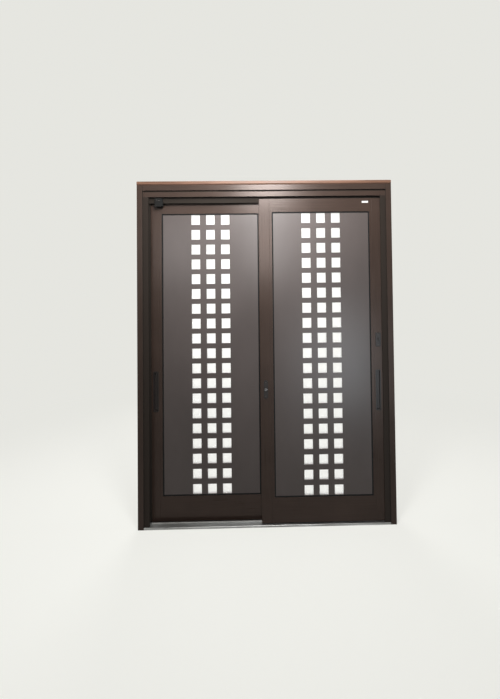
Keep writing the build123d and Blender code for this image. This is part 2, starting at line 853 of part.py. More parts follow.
with BuildPart() as edge_lock_turn:
    turn_base = lock_room - lock_cover_depth - turn_clearance
    with BuildSketch(wall_plane(turn_base)):
        with Locations((lock_x, lock_level)):
            Circle(turn_radius)
    extrude(amount=turn_disc)
    with BuildSketch(wall_plane(turn_base - turn_disc)):
        with Locations((lock_x, lock_level)):
            SlotOverall(turn_grip_length, turn_grip_width, rotation=90)
    extrude(amount=turn_grip_height)
    with BuildSketch(wall_plane(turn_base)):
        with Locations((lock_x, lock_level)):
            Circle(spindle_radius)
    extrude(amount=-(lock_street + cylinder_flange - plug_depth - turn_base))
save(edge_lock_turn, "edge_lock_turn")

with BuildPart() as edge_lock_case:
    with BuildSketch(wall_plane(case_front)):
        bar(
            leading_x - wall - case_backset,
            leading_x - wall,
            lock_level - case_height / 2,
            lock_level + case_height / 2,
        )
    extrude(amount=-case_thickness)
    with BuildSketch(wall_plane(case_front + case_wall)):
        bar(
            leading_x - wall - case_backset + case_wall,
            leading_x - wall,
            lock_level - case_height / 2 + case_wall,
            lock_level + case_height / 2 - case_wall,
        )
    extrude(amount=-(case_thickness - 2 * case_wall), mode=Mode.SUBTRACT)
    with BuildSketch(wall_plane(case_front)):
        with Locations((lock_x, lock_level)):
            Circle(spindle_radius + spindle_clearance)
    extrude(amount=-case_thickness, mode=Mode.SUBTRACT)
    # Pin that the hook turns on, with a boss on each side of it
    with BuildSketch(wall_plane(case_front)):
        with Locations((hook_x, hook_z)):
            Circle(hook_pin_radius)
    extrude(amount=-case_thickness)
    boss = (case_thickness - hook_thickness) / 2 - turn_clearance
    for start in (case_front, case_front + case_thickness - boss):
        with BuildSketch(wall_plane(start)):
            with Locations((hook_x, hook_z)):
                Circle(hook_boss_radius)
        extrude(amount=-boss)
save(edge_lock_case, "edge_lock_case")

with BuildPart() as edge_hook_bolt:
    # Drawn as it lies drawn back: its arm points up and its nose towards the leading edge
    with BuildSketch(wall_plane(lock_y - hook_thickness / 2)):
        with Locations((hook_x, hook_z)):
            Circle(hook_half_width)
        bar(hook_x - hook_half_width, hook_x + hook_half_width, hook_z, hook_z + hook_reach)
        bar(
            hook_x,
            hook_x + hook_half_width + hook_nose_drop,
            hook_z + hook_reach - hook_nose_length,
            hook_z + hook_reach,
        )
        with Locations((hook_x, hook_z)):
            Circle(hook_pin_radius + running_clearance, mode=Mode.SUBTRACT)
    extrude(amount=-hook_thickness)
save(edge_hook_bolt, "edge_hook_bolt")

with BuildPart() as edge_lock_cylinder:
    with BuildSketch(wall_plane(lock_street)):
        with Locations((lock_x, lock_level)):
            Circle(cylinder_flange_radius)
    extrude(amount=-cylinder_flange)
    with BuildSketch(wall_plane(lock_street)):
        with Locations((lock_x, lock_level)):
            Circle(cylinder_radius)
    extrude(amount=cylinder_depth)
    with BuildSketch(wall_plane(lock_street + cylinder_flange)):
        with Locations((lock_x, lock_level)):
            Circle(plug_radius + turn_clearance)
    extrude(amount=cylinder_flange + cylinder_depth, mode=Mode.SUBTRACT)
save(edge_lock_cylinder, "edge_lock_cylinder")

with BuildPart() as edge_lock_plug:
    with BuildSketch(wall_plane(lock_street + cylinder_flange)):
        with Locations((lock_x, lock_level)):
            Circle(plug_radius)
    extrude(amount=plug_depth)
    with BuildSketch(wall_plane(lock_street + cylinder_flange)):
        with Locations((lock_x, lock_level)):
            Rectangle(key_slot_width, key_slot_height)
    extrude(amount=key_slot_depth, mode=Mode.SUBTRACT)
save(edge_lock_plug, "edge_lock_plug")


# Meeting lock

meeting_place = (meeting_lock_offset, meeting_lock_level)

with BuildPart() as meeting_lock_plate:
    with BuildSketch(wall_plane(lock_room)):
        with Locations(meeting_place):
            SlotOverall(meeting_plate_height, meeting_plate_width, rotation=90)
            Circle(spindle_radius + spindle_clearance, mode=Mode.SUBTRACT)
    extrude(amount=meeting_plate_depth)
save(meeting_lock_plate, "meeting_lock_plate")

with BuildPart() as meeting_lock_turn:
    turn_base = lock_room - meeting_plate_depth - turn_clearance
    with BuildSketch(wall_plane(turn_base)):
        with Locations(meeting_place):
            Circle(meeting_turn_radius)
    extrude(amount=turn_disc)
    with BuildSketch(wall_plane(turn_base - turn_disc)):
        with Locations(meeting_place):
            SlotOverall(meeting_grip_length, turn_grip_width)
    extrude(amount=turn_grip_height)
    with BuildSketch(wall_plane(turn_base)):
        with Locations(meeting_place):
            Circle(spindle_radius)
    extrude(amount=-(lock_street + arm_back - turn_base))
save(meeting_lock_turn, "meeting_lock_turn")

with BuildPart() as meeting_lock_arm:
    # Drawn unlocked, level, on the far end of the spindle
    with BuildSketch(wall_plane(lock_street + arm_front)):
        with Locations(meeting_place):
            Circle(arm_hub_radius)
        bar(
            meeting_lock_offset,
            meeting_lock_offset + arm_length,
            meeting_lock_level - arm_half_width,
            meeting_lock_level + arm_half_width,
        )
        with Locations(meeting_place):
            Circle(spindle_radius + running_clearance, mode=Mode.SUBTRACT)
    extrude(amount=-(arm_back - arm_front))
save(meeting_lock_arm, "meeting_lock_arm")

with BuildPart() as meeting_lock_keeper:
    # Post on the outer leaf that the turned arm lies against
    keeper_x = meeting_lock_offset - arm_half_width - keeper_play - keeper_post_radius
    keeper_z = meeting_lock_level - keeper_drop
    with BuildSketch(wall_plane(room_face(-1))):
        with Locations((keeper_x, keeper_z)):
            Rectangle(keeper_plate_width, keeper_plate_height)
    extrude(amount=keeper_plate_thickness)
    with BuildSketch(wall_plane(room_face(-1) - keeper_plate_thickness)):
        with Locations((keeper_x, keeper_z)):
            Circle(keeper_post_radius)
    extrude(amount=keeper_post_length)
save(meeting_lock_keeper, "meeting_lock_keeper")
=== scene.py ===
import json
import math

import bpy
from mathutils import Matrix, Vector


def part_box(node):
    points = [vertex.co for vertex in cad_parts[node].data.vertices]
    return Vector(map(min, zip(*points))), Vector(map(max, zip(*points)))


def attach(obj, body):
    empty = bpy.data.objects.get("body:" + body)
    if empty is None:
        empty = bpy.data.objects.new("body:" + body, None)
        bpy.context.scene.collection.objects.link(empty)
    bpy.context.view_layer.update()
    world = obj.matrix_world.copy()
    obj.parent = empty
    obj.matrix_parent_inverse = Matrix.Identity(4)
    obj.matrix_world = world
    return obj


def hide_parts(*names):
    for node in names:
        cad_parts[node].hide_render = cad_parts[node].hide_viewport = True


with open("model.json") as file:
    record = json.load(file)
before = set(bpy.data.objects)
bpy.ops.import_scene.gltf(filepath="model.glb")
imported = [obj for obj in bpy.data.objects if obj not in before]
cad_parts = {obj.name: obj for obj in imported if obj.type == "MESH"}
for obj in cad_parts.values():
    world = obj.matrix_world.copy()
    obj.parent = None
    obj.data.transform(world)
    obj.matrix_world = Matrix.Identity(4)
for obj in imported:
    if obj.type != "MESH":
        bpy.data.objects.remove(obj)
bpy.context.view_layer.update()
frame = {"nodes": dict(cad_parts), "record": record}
nodes = frame["nodes"]
leaves = ("inner_leaf", "outer_leaf")
print("frame loaded:", len(nodes), "nodes")


# Node helpers, shared by finishes and geometry trees

def addNode(tree, kind, settings=None, inputs=None):
    # Adds a node and sets its properties, then the value or the link of each named socket
    node = tree.nodes.new(kind)
    for name, value in (settings or {}).items():
        setattr(node, name, value)
    for name, value in (inputs or {}).items():
        if isinstance(value, bpy.types.NodeSocket):
            tree.links.new(value, node.inputs[name])
        else:
            node.inputs[name].default_value = value
    return node


def calculate(tree, operation, first, second=0.0):
    node = addNode(tree, "ShaderNodeMath", {"operation": operation}, {0: first, 1: second})
    return node.outputs[0]


def multiply(tree, first, second):
    return calculate(tree, "MULTIPLY", first, second)


def combine(tree, x=0.0, y=0.0, z=0.0):
    return addNode(tree, "ShaderNodeCombineXYZ", None, {"X": x, "Y": y, "Z": z}).outputs[0]


# Finishes

evenly = (1.0, 1.0, 1.0)  # stretch of a noise that runs the same way in every direction


def startFinish(name, look):
    material = bpy.data.materials.new(name)
    material.use_nodes = True
    tree = material.node_tree
    shader = tree.nodes["Principled BSDF"]
    for socket, value in look.items():
        shader.inputs[socket].default_value = value
    coords = tree.nodes.new("ShaderNodeTexCoord").outputs["Object"]
    return material, tree, shader, coords


def noise(tree, coords, stretch, scale, detail=2.0):
    placed = addNode(tree, "ShaderNodeMapping", None, {"Vector": coords, "Scale": stretch})
    return addNode(tree, "ShaderNodeTexNoise", None, {
        "Vector": placed.outputs[0], "Scale": scale, "Detail": detail,
    }).outputs["Fac"]


def spread(tree, value, low, high, fromLow=0.3, fromHigh=0.7):
    # By default from the range that most of a noise lies in
    steps = {"From Min": fromLow, "From Max": fromHigh, "To Min": low, "To Max": high}
    return addNode(tree, "ShaderNodeMapRange", None, {"Value": value, **steps}).outputs[0]


def tones(tree, value, dark, light, ends=(0.35, 0.65)):
    ramp = addNode(tree, "ShaderNodeValToRGB", None, {"Fac": value})
    for element, place, color in zip(ramp.color_ramp.elements, ends, (dark, light)):
        element.position = place
        element.color = (*color, 1.0)
    return ramp.outputs["Color"]


def mixColors(tree, share, first, second):
    inputs = {"Fac": share, "Color1": first, "Color2": second}
    return addNode(tree, "ShaderNodeMixRGB", None, inputs).outputs[0]


def bump(tree, shader, height, strength, distance):
    inputs = {"Height": height, "Strength": strength, "Distance": distance}
    node = addNode(tree, "ShaderNodeBump", None, inputs)
    tree.links.new(node.outputs[0], shader.inputs["Normal"])
    return node


bronzeLook = {
    "dark": (0.038, 0.0248, 0.0195),
    "light": (0.056, 0.0366, 0.029),
    "roughness": (0.26, 0.33),
    "specular": 0.19,
    "specularTint": (1.0, 0.87, 0.82, 1.0),
    "easedEdge": 0.0008,
    "edgeSamples": 4,
    # colour of the painted shade inside a frame's channels
    "channel": (0.017, 0.0135, 0.0105, 1.0),
    "channelHalf": (0.0425, 0.0445),
    "channelRoughness": 0.75,
    "headTop": (2.2485, 2.2495),  # from here upwards the head has no painted shade
    "lineScale": 420.0,
    "lineStretch": 0.012,
    "lineShare": 0.4,
    "lineBump": 0.35,
    "lineDepth": 0.00004,
    "cloudScale": 3.2,
    "cloudShare": 0.6,
}

# Painted shade on the jambs: the inner band darker than the outer one, and dark lines along both
# bands' inner edges
jambLook = {
    "outerBand": 0.807,  # inner edges of a jamb's two bands, from the middle of the door
    "innerBand": 0.771,
    "edgeSoftness": 0.0004,
    "lineHalf": (0.0014, 0.0026),
    "innerShare": 0.88,
    "wallFace": (0.8435, 0.8445),  # from here outwards the jamb has no painted shade, as it faces the wall
}


def jambPaintedShade(tree, channel, across):
    # Share of painted shade on a jamb: in its channels, on its inner band and in dark lines along
    # the bands' edges
    outer, soft = jambLook["outerBand"], jambLook["edgeSoftness"]
    inner = spread(tree, across, 1.0, 0.0, outer - soft, outer + soft)
    share = calculate(tree, "MAXIMUM", channel, multiply(tree, inner, jambLook["innerShare"]))
    for edge in (outer, jambLook["innerBand"]):
        away = calculate(tree, "ABSOLUTE", calculate(tree, "SUBTRACT", across, edge))
        line = spread(tree, away, 1.0, 0.0, *jambLook["lineHalf"])
        share = calculate(tree, "MAXIMUM", share, line)
    return multiply(tree, share, spread(tree, across, 1.0, 0.0, *jambLook["wallFace"]))


def bronzeFinish(name, along, channel=False):
    # Satin anodised aluminium with the die's fine lines along it; a frame's channels are painted
    # darker, as painted shade
    look = {
        "Specular IOR Level": bronzeLook["specular"],
        "Specular Tint": bronzeLook["specularTint"],
    }
    material, tree, shader, coords = startFinish(name, look)
    stretch = tuple(bronzeLook["lineStretch"] if axis == along else 1.0 for axis in "XYZ")
    lines = noise(tree, coords, stretch, bronzeLook["lineScale"], detail=3.0)
    clouds = noise(tree, coords, evenly, bronzeLook["cloudScale"], detail=4.0)
    mixed = calculate(
        tree, "ADD", multiply(tree, lines, bronzeLook["lineShare"]),
        multiply(tree, clouds, bronzeLook["cloudShare"]),
    )
    color = tones(tree, mixed, bronzeLook["dark"], bronzeLook["light"])
    roughness = spread(tree, mixed, *bronzeLook["roughness"])
    # Painted shade: inside the channels the colour is mixed towards the dark channel colour, and
    # the roughness is raised
    if channel:
        place = addNode(tree, "ShaderNodeSeparateXYZ", None, {0: coords}).outputs
        depth = calculate(tree, "ABSOLUTE", place["Y"])
        dirtAndShade = spread(tree, depth, 1.0, 0.0, *bronzeLook["channelHalf"])
        if along == "Z":
            dirtAndShade = jambPaintedShade(tree, dirtAndShade, calculate(tree, "ABSOLUTE", place["X"]))
        else:
            below = spread(tree, place["Z"], 1.0, 0.0, *bronzeLook["headTop"])
            dirtAndShade = multiply(tree, dirtAndShade, below)
        color = mixColors(tree, dirtAndShade, color, bronzeLook["channel"])
        roughness = spread(tree, dirtAndShade, roughness, bronzeLook["channelRoughness"], 0.0, 1.0)
    tree.links.new(color, shader.inputs["Base Color"])
    tree.links.new(roughness, shader.inputs["Roughness"])
    ridges = bump(tree, shader, lines, bronzeLook["lineBump"], bronzeLook["lineDepth"])
    edge = {"Radius": bronzeLook["easedEdge"]}
    samples = {"samples": bronzeLook["edgeSamples"]}
    eased = addNode(tree, "ShaderNodeBevel", samples, edge).outputs[0]
    tree.links.new(eased, ridges.inputs["Normal"])
    return material


sheetLook = {
    "dark": (0.093, 0.0765, 0.072),
    "light": (0.114, 0.0945, 0.089),
    "roughness": (0.315, 0.365),
    "specular": 0.21,
    "grainScale": 900.0,
    "grainBump": 0.3,
    "grainDepth": 0.00003,
    "cloudScale": 2.1,
    "cloudStretch": (1.0, 1.0, 0.5),
}


def sheetFinish():
    # Lattice panels: a flat coated facing with a fine even grain
    look = {"Specular IOR Level": sheetLook["specular"]}
    material, tree, shader, coords = startFinish("latticeFacing", look)
    grain = noise(tree, coords, evenly, sheetLook["grainScale"])
    clouds = noise(tree, coords, sheetLook["cloudStretch"], sheetLook["cloudScale"], detail=4.0)
    color = tones(tree, clouds, sheetLook["dark"], sheetLook["light"])
    tree.links.new(color, shader.inputs["Base Color"])
    tree.links.new(spread(tree, clouds, *sheetLook["roughness"]), shader.inputs["Roughness"])
    bump(tree, shader, grain, sheetLook["grainBump"], sheetLook["grainDepth"])
    return material


sillLook = {
    "metallic": 0.85,
    "dark": (0.185, 0.185, 0.181),
    "light": (0.36, 0.36, 0.352),
    "dirtAndShade": (0.07, 0.062, 0.052, 1.0),
    "roughness": (0.32, 0.5),
    "scratchScale": 260.0,
    "scratchStretch": (0.02, 1.0, 1.0),
    "scratchBump": 0.4,
    "scratchDepth": 0.00006,
    "dirtScale": 9.0,
    "dirtStretch": (0.4, 1.6, 1.0),
    "dirtShare": 0.55,
    "dirtFrom": (0.48, 0.72),
}


def sillFinish():
    # Bare aluminium that feet and wheels have dulled, scratched along it, with dirt in patches
    material, tree, shader, coords = startFinish("sillMetal", {"Metallic": sillLook["metallic"]})
    stretch = sillLook["scratchStretch"]
    scratches = noise(tree, coords, stretch, sillLook["scratchScale"], detail=4.0)
    patches = noise(tree, coords, sillLook["dirtStretch"], sillLook["dirtScale"], detail=5.0)
    clean = tones(tree, scratches, sillLook["dark"], sillLook["light"])
    share = spread(tree, patches, 0.0, sillLook["dirtShare"], *sillLook["dirtFrom"])
    color = mixColors(tree, share, clean, sillLook["dirtAndShade"])
    tree.links.new(color, shader.inputs["Base Color"])
    tree.links.new(spread(tree, scratches, *sillLook["roughness"]), shader.inputs["Roughness"])
    bump(tree, shader, scratches, sillLook["scratchBump"], sillLook["scratchDepth"])
    return material


trimLook = {
    "dark": (0.13, 0.062, 0.037),
    "light": (0.2, 0.102, 0.064),
    "lip": (0.075, 0.035, 0.02, 1.0),
    "lipLevels": (2.2575, 2.2595),
    "lipRoughness": 0.8,
    "roughness": (0.42, 0.52),
    "specular": 0.3,
    "figureScale": 90.0,
    "figureStretch": (0.06, 1.0, 1.0),
}


def trimFinish():
    # Reddish-brown strip with a long faint figure, and painted shade darkening its lower half
    look = {"Specular IOR Level": trimLook["specular"]}
    material, tree, shader, coords = startFinish("trimBrown", look)
    figure = noise(tree, coords, trimLook["figureStretch"], trimLook["figureScale"], detail=4.0)
    upper = tones(tree, figure, trimLook["dark"], trimLook["light"])
    level = addNode(tree, "ShaderNodeSeparateXYZ", None, {0: coords}).outputs["Z"]
    # Painted shade: below these levels the colour turns to the dark lip colour, the shadow under
    # the strip
    lower = spread(tree, level, 1.0, 0.0, *trimLook["lipLevels"])
    color = mixColors(tree, lower, upper, trimLook["lip"])
    tree.links.new(color, shader.inputs["Base Color"])
    roughness = spread(tree, figure, *trimLook["roughness"])
    roughness = spread(tree, lower, roughness, trimLook["lipRoughness"], 0.0, 1.0)
    tree.links.new(roughness, shader.inputs["Roughness"])
    return material


glassLook = {
    "color": (0.76, 0.765, 0.76, 1.0),
    "paintedDaylight": (1.0, 0.98, 0.955, 1.0),
    "glow": 0.16,
    "specular": 0.1,
    "clearness": 0.98,
    "roughness": (0.5, 0.62),
    "frostScale": 1400.0,
    "frostBump": 0.25,
    "frostDepth": 0.00004,
}


def glassFinish():
    # Acid-frosted pane that glows by emission, as painted daylight of the street side
    look = {
        "Base Color": glassLook["color"],
        "Transmission Weight": glassLook["clearness"],
        "Specular IOR Level": glassLook["specular"],
        # Painted light: the pane's emission stands in for daylight shining through it
        "Emission Color": glassLook["paintedDaylight"],
        "Emission Strength": glassLook["glow"],
    }
    material, tree, shader, coords = startFinish("frostedPane", look)
    frost = noise(tree, coords, evenly, glassLook["frostScale"], detail=3.0)
    tree.links.new(spread(tree, frost, *glassLook["roughness"]), shader.inputs["Roughness"])
    bump(tree, shader, frost, glassLook["frostBump"], glassLook["frostDepth"])
    return material


brushLook = {
    "scale": 700.0,
    "stretch": 0.02,
    "darker": 0.72,
    "span": 0.06,
    "bump": 0.3,
    "depth": 0.00003,
}


def brushedFinish(name, color, along, roughness):
    # Metal brushed along one axis
    material, tree, shader, coords = startFinish(name, {"Metallic": 1.0})
    stretch = tuple(brushLook["stretch"] if axis == along else 1.0 for axis in "XYZ")
    strokes = noise(tree, coords, stretch, brushLook["scale"], detail=3.0)
    darker = tuple(brushLook["darker"] * part for part in color)
    tree.links.new(tones(tree, strokes, darker, color), shader.inputs["Base Color"])
    rough = spread(tree, strokes, roughness - brushLook["span"], roughness + brushLook["span"])
    tree.links.new(rough, shader.inputs["Roughness"])
    bump(tree, shader, strokes, brushLook["bump"], brushLook["depth"])
    return material


speckleLook = {"span": 0.05, "bump": 0.4}


def speckledFinish(name, dark, light, roughness, scale, depth, specular=0.5):
    # Moulded or coated surface with a fine even texture
    material, tree, shader, coords = startFinish(name, {"Specular IOR Level": specular})
    speckle = noise(tree, coords, evenly, scale, detail=3.0)
    tree.links.new(tones(tree, speckle, dark, light), shader.inputs["Base Color"])
    rough = spread(tree, speckle, roughness - speckleLook["span"], roughness + speckleLook["span"])
    tree.links.new(rough, shader.inputs["Roughness"])
    bump(tree, shader, speckle, speckleLook["bump"], depth)
    return material


brushedLooks = {
    "steelBrushed": {"color": (0.55, 0.55, 0.54), "along": "X", "roughness": 0.3},
    "zincScrew": {"color": (0.42, 0.41, 0.39), "along": "Z", "roughness": 0.36},
    "darkScrew": {"color": (0.07, 0.062, 0.058), "along": "Z", "roughness": 0.36},
    "satinTurn": {"color": (0.15, 0.145, 0.145), "along": "Z", "roughness": 0.3},
}
speckledLooks = {
    "darkFitting": {
        "dark": (0.016, 0.0125, 0.0115), "light": (0.026, 0.02, 0.018),
        "roughness": 0.38, "scale": 600.0, "depth": 0.00003, "specular": 0.22,
    },
    "blackRubber": {
        "dark": (0.006, 0.006, 0.006), "light": (0.012, 0.012, 0.012),
        "roughness": 0.62, "scale": 500.0, "depth": 0.00005, "specular": 0.12,
    },
    "blackClamp": {
        "dark": (0.006, 0.0058, 0.0055), "light": (0.011, 0.0105, 0.01),
        "roughness": 0.5, "scale": 600.0, "depth": 0.00003, "specular": 0.12,
    },
    "pileFibre": {
        "dark": (0.02, 0.02, 0.021), "light": (0.05, 0.05, 0.052),
        "roughness": 0.9, "scale": 800.0, "depth": 0.0001,
    },
    "nylonGrey": {
        "dark": (0.16, 0.16, 0.155), "light": (0.22, 0.22, 0.21),
        "roughness": 0.45, "scale": 300.0, "depth": 0.00003,
    },
    "plateWhite": {
        "dark": (0.74, 0.74, 0.72), "light": (0.82, 0.82, 0.8),
        "roughness": 0.4, "scale": 400.0, "depth": 0.00002,
    },
}

finishes = {
    "bronzeUpright": bronzeFinish("bronzeUpright", "Z"),
    "bronzeLevel": bronzeFinish("bronzeLevel", "X"),
    "bronzeJamb": bronzeFinish("bronzeJamb", "Z", True),
    "bronzeHead": bronzeFinish("bronzeHead", "X", True),
    "latticeFacing": sheetFinish(),
    "sillMetal": sillFinish(),
    "trimBrown": trimFinish(),
    "frostedPane": glassFinish(),
}
for name, look in brushedLooks.items():
    finishes[name] = brushedFinish(name, **look)
for name, look in speckledLooks.items():
    finishes[name] = speckledFinish(name, **look)

finishOfSlot = {
    "bronze_aluminium": "bronzeUpright",
    "bare_aluminium": "sillMetal",
    "brown_trim": "trimBrown",
    "stainless": "steelBrushed",
    "lattice_sheet": "latticeFacing",
    "frosted_glass": "frostedPane",
    "black_rubber": "blackRubber",
    "grey_pile": "pileFibre",
    "nylon": "nylonGrey",
    "dark_metal": "darkFitting",
    "zinc_screw": "zincScrew",
}
finishOfNode = {
    "head_frame": "bronzeHead",
    "left_jamb": "bronzeJamb",
    "right_jamb": "bronzeJamb",
    "travel_stop_clamps": "blackClamp",
    "meeting_lock_turn": "satinTurn",
}
for leaf in leaves:
    for rail in ("top", "bottom"):
        finishOfNode[f"{leaf}_{rail}_rail"] = "bronzeLevel"

for entry in frame["record"]["subparts"]:
    finish = finishOfNode.get(entry["node"], finishOfSlot[entry["material_slot"]])
    node = nodes[entry["node"]]
    node.data.materials.clear()
    node.data.materials.append(finishes[finish])
print("finishes made:", len(finishes))


# Geometry trees

def startTree(name, inputs):
    tree = bpy.data.node_groups.new(name, "GeometryNodeTree")
    for label, kind in inputs.items():
        tree.interface.new_socket(label, in_out="INPUT", socket_type=f"NodeSocket{kind}")
    tree.interface.new_socket("Geometry", in_out="OUTPUT", socket_type="NodeSocketGeometry")
    return tree, tree.nodes.new("NodeGroupInput").outputs


def endTree(tree, geometry, material):
    single = addNode(tree, "GeometryNodeRealizeInstances", None, {"Geometry": geometry}).outputs[0]
    inputs = {"Geometry": single, "Material": material}
    painted = addNode(tree, "GeometryNodeSetMaterial", None, inputs).outputs[0]
    tree.links.new(painted, tree.nodes.new("NodeGroupOutput").inputs[0])


def placeGeometry(tree, geometry, move=None, turn=None, scale=None):
    given = {"Translation": move, "Rotation": turn, "Scale": scale}
    used = {name: value for name, value in given.items() if value is not None}
    inputs = {"Geometry": geometry, **used}
    return addNode(tree, "GeometryNodeTransform", None, inputs).outputs[0]


def makeBlock(tree, size):
    return addNode(tree, "GeometryNodeMeshCube", None, {"Size": size}).outputs["Mesh"]


def joinGeometry(tree, *parts):
    joined = addNode(tree, "GeometryNodeJoinGeometry")
    for part in parts:
        tree.links.new(part, joined.inputs[0])
    return joined.outputs[0]


def bakePiece(piece):
    # Turns what the modifiers make into the piece's own plain mesh
    evaluated = piece.evaluated_get(bpy.context.evaluated_depsgraph_get())
    mesh = bpy.data.meshes.new_from_object(evaluated)
    piece.modifiers.clear()
    piece.data = mesh
    mesh.name = piece.name
    return piece


def addObject(name, data):
    made = bpy.data.objects.new(name, data)
    bpy.context.scene.collection.objects.link(made)
    return made


def growPiece(name, tree, values, mesh=None):
    piece = addObject(name, mesh or bpy.data.meshes.new(name))
    modifier = piece.modifiers.new(tree.name, "NODES")
    modifier.node_group = tree
    for item in tree.interface.items_tree:
        if item.in_out == "INPUT" and item.name in values:
            modifier[item.identifier] = values[item.name]
    return bakePiece(piece)


bevel = {"segments": 2, "angle": 30.0}


def bevelPiece(piece, width):
    modifier = piece.modifiers.new("Eased edges", "BEVEL")
    modifier.width = width
    modifier.segments = bevel["segments"]
    modifier.limit_method = "ANGLE"
    modifier.angle_limit = math.radians(bevel["angle"])
    modifier.harden_normals = True
    for face in piece.data.polygons:
        face.use_smooth = True
    return bakePiece(piece)


def middleOf(node):
    low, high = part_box(node)
    return (low + high) / 2


# Lattice panels

lattice = {
    "columns": 3,
    "rows": 19,
    "lightWidth": 0.059,
    "lightHeight": 0.0663158,
    "upright": 0.041,
    "crossbar": 0.034,
    "edge": 0.0006,
    "weld": 0.00001,
}


def latticeLine(tree, number, lights, opening, bar, total):
    # Place of one grid line: the two sides of each light in turn, and the sheet's edge at each end
    counted = calculate(tree, "SUBTRACT", number, 1.0)
    light = calculate(tree, "FLOOR", calculate(tree, "DIVIDE", counted, 2.0))
    side = calculate(tree, "SUBTRACT", calculate(tree, "FLOORED_MODULO", counted, 2.0), 0.5)
    middle = calculate(tree, "DIVIDE", calculate(tree, "SUBTRACT", lights, 1.0), 2.0)
    pitch = calculate(tree, "ADD", opening, bar)
    centre = multiply(tree, calculate(tree, "SUBTRACT", light, middle), pitch)
    line = calculate(tree, "ADD", centre, multiply(tree, side, opening))
    half = calculate(tree, "DIVIDE", total, 2.0)
    last = calculate(tree, "ADD", multiply(tree, lights, 2.0), 1.0)
    isFirst = calculate(tree, "LESS_THAN", number, 0.5)
    isLast = calculate(tree, "GREATER_THAN", number, calculate(tree, "SUBTRACT", last, 0.5))
    inner = calculate(tree, "SUBTRACT", 1.0, calculate(tree, "ADD", isFirst, isLast))
    ends = multiply(tree, calculate(tree, "SUBTRACT", isLast, isFirst), half)
    return calculate(tree, "ADD", multiply(tree, inner, line), ends)


def latticeTree():
    # A sheet as a grid of quads without the cells of its lights, made thick and stood upright
    tree, given = startTree("Lattice sheet", {
        "Width": "Float", "Height": "Float", "Columns": "Int", "Rows": "Int",
        "Light Width": "Float", "Light Height": "Float", "Upright": "Float", "Crossbar": "Float",
        "Thickness": "Float", "Weld": "Float", "Far Corner": "Vector", "Material": "Material",
    })
    linesAcross, linesUp = (
        calculate(tree, "ADD", multiply(tree, given[count], 2.0), 2.0)
        for count in ("Columns", "Rows")
    )
    gridInputs = {"Vertices X": linesAcross, "Vertices Y": linesUp}
    grid = addNode(tree, "GeometryNodeMeshGrid", None, gridInputs).outputs["Mesh"]
    index = tree.nodes.new("GeometryNodeInputIndex").outputs[0]
    column = calculate(tree, "FLOOR", calculate(tree, "DIVIDE", index, linesUp))
    row = calculate(tree, "FLOORED_MODULO", index, linesUp)
    across = (given["Columns"], given["Light Width"], given["Upright"], given["Width"])
    up = (given["Rows"], given["Light Height"], given["Crossbar"], given["Height"])
    place = combine(tree, latticeLine(tree, column, *across), latticeLine(tree, row, *up))
    flat = addNode(tree, "GeometryNodeSetPosition", None, {"Geometry": grid, "Position": place})
    cellsUp = calculate(tree, "SUBTRACT", linesUp, 1.0)
    cellColumn = calculate(tree, "FLOOR", calculate(tree, "DIVIDE", index, cellsUp))
    cellRow = calculate(tree, "FLOORED_MODULO", index, cellsUp)
    oddColumn, oddRow = (
        calculate(tree, "FLOORED_MODULO", cell, 2.0) for cell in (cellColumn, cellRow)
    )
    isLight = calculate(tree, "GREATER_THAN", multiply(tree, oddColumn, oddRow), 0.5)
    punched = addNode(tree, "GeometryNodeDeleteGeometry", {"domain": "FACE"}, {
        "Geometry": flat.outputs[0], "Selection": isLight,
    }).outputs[0]
    raised = addNode(tree, "GeometryNodeExtrudeMesh", None, {
        "Mesh": punched, "Offset Scale": given["Thickness"], "Individual": False,
    }).outputs[0]
    back = addNode(tree, "GeometryNodeFlipFaces", None, {"Mesh": punched}).outputs[0]
    closed = addNode(tree, "GeometryNodeMergeByDistance", None, {
        "Geometry": joinGeometry(tree, raised, back), "Distance": given["Weld"],
    }).outputs[0]
    stood = placeGeometry(tree, closed, given["Far Corner"], (math.pi / 2, 0.0, 0.0))
    endTree(tree, stood, given["Material"])
    return tree


def addLattices():
    tree = latticeTree()
    for leaf in leaves:
        for side in ("inside", "outside"):
            low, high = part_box(f"{leaf}_{side}_panel")
            middle = (low + high) / 2
            panel = growPiece(f"{leaf}_{side}_lattice", tree, {
                "Width": high.x - low.x, "Height": high.z - low.z, "Thickness": high.y - low.y,
                "Columns": lattice["columns"], "Rows": lattice["rows"], "Weld": lattice["weld"],
                "Light Width": lattice["lightWidth"], "Light Height": lattice["lightHeight"],
                "Upright": lattice["upright"], "Crossbar": lattice["crossbar"],
                "Far Corner": (middle.x, high.y, middle.z), "Material": finishes["latticeFacing"],
            })
            bevelPiece(panel, lattice["edge"])
            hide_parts(f"{leaf}_{side}_panel")
            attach(panel, leaf)
            print("lattice sheet:", panel.name, len(panel.data.polygons), "faces")


addLattices()


# Small screws: a domed head with a cross recess at each marked place

screws = {
    "segments": 20,
    "rings": 10,
    "dome": 0.42,
    "slotLength": 1.1,
    "slotWidth": 0.2,
    "slotDepth": 0.3,
    "coverApart": 0.037,  # from the middle of the piece to each of its two screws
    "coverRadius": 0.003,
    "plateApart": 0.046,
    "plateRadius": 0.0028,
    "pullApart": 0.115,
    "pullRadius": 0.0026,
    "pullFloor": 0.0015,
    "strikeApart": 0.042,
    "strikeRadius": 0.003,
    "keeperApart": 0.011,
    "keeperRadius": 0.0016,
    "keeperProud": 0.002,
    "clampSteps": (0.012, 0.028),
    "clampDrop": 0.02,
    "clampRadius": 0.0032,
}


